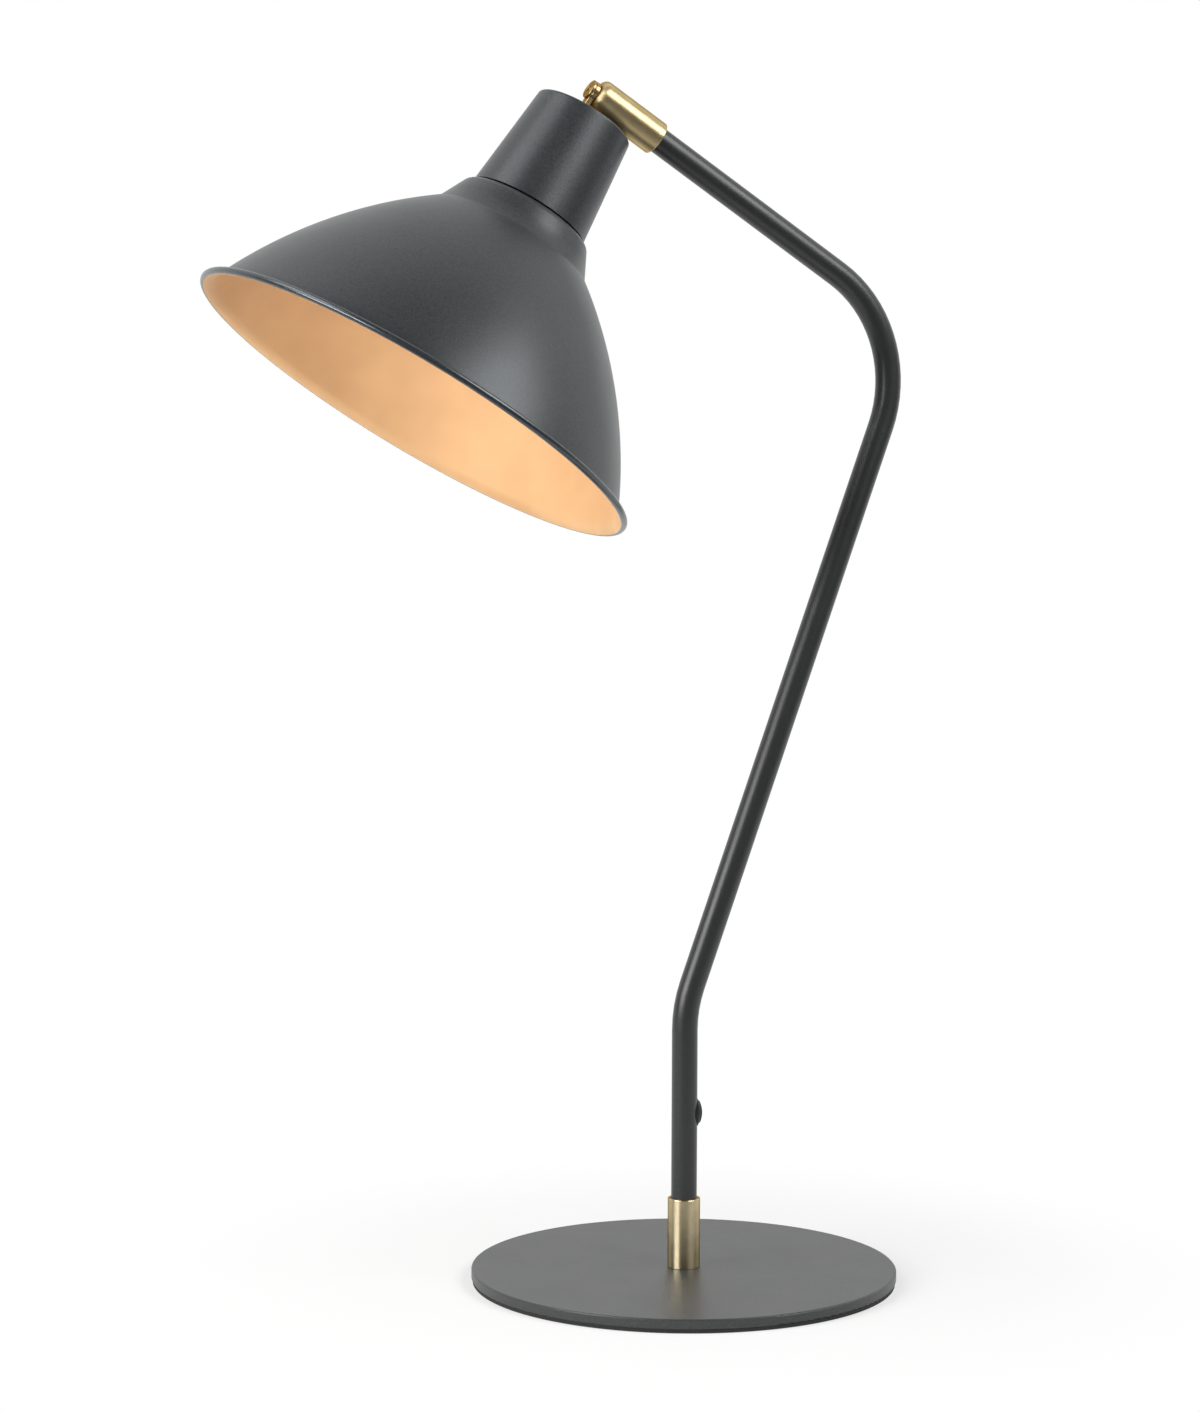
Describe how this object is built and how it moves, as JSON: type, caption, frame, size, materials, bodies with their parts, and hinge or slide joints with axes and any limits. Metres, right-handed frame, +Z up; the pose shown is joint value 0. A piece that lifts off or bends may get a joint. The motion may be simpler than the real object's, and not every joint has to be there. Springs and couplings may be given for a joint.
{
  "type": "table lamp",
  "caption": "Table lamp with a beaded bell shade under a tapered cup, turning on a bent tube stem with brass ferrules, on a round disc base with a push switch.",
  "frame": {"origin": "centre of the base pad's underside, on the surface that the lamp stands on", "axes": "+Z up; the stem and arm lie in the XZ plane, the arm's elbow towards +X and the shade towards -X"},
  "size_m": [0.356, 0.231, 0.5859],
  "materials": {
    "graphite_paint": "satin powder coat",
    "brass": "brushed, lightly aged",
    "plated_brass": "nickel plated",
    "base_foam": "matte foam",
    "zinc_steel": "zinc plated",
    "black_plastic": "satin",
    "dark_fibre": "matte",
    "black_bakelite": "gloss",
    "white_ceramic": "glazed",
    "bulb_metal": "satin",
    "bulb_insulator": "gloss",
    "opal_glass": "opal",
    "lead_sleeve": "matte"
  },
  "bodies": {
    "stand": {"base_plate": "graphite_paint", "stem_tube": "graphite_paint", "lower_ferrule": "brass", "upper_ferrule": "brass", "swivel_screw": "brass", "base_pad": "base_foam", "base_screw": "zinc_steel", "ferrule_grub_screws": "zinc_steel", "spring_washer": "zinc_steel", "switch_body": "black_plastic", "switch_bezel": "black_plastic", "cord_bush": "black_plastic", "stem_lead": "lead_sleeve", "friction_washer": "dark_fibre"},
    "button": {"switch_button": "black_plastic"},
    "head": {"swivel_eye": "brass", "cup": "graphite_paint", "cup_washer": "zinc_steel", "cup_nut": "zinc_steel", "shade": "graphite_paint", "shade_ring": "black_bakelite", "holder_cap": "black_bakelite", "holder_skirt": "black_bakelite", "holder_insert": "white_ceramic", "holder_screw_shell": "plated_brass", "holder_contact": "plated_brass", "holder_terminals": "plated_brass", "bulb_cap": "bulb_metal", "bulb_contact": "bulb_insulator", "bulb_glass": "opal_glass", "head_lead": "lead_sleeve"}
  },
  "joints": [
    {"name": "head_swivel", "type": "hinge", "parent": "stand", "child": "head", "pos_m": [-0.05084, 0, 0.58055], "axis": [-0.8406, 0, 0.5417], "range_deg": [-90, 90]},
    {"name": "switch_press", "type": "slide", "parent": "stand", "child": "button", "axis": [-1, 0, 0], "range_m": [0, 0.0012], "stiffness_N_per_m": 2500}
  ]
}
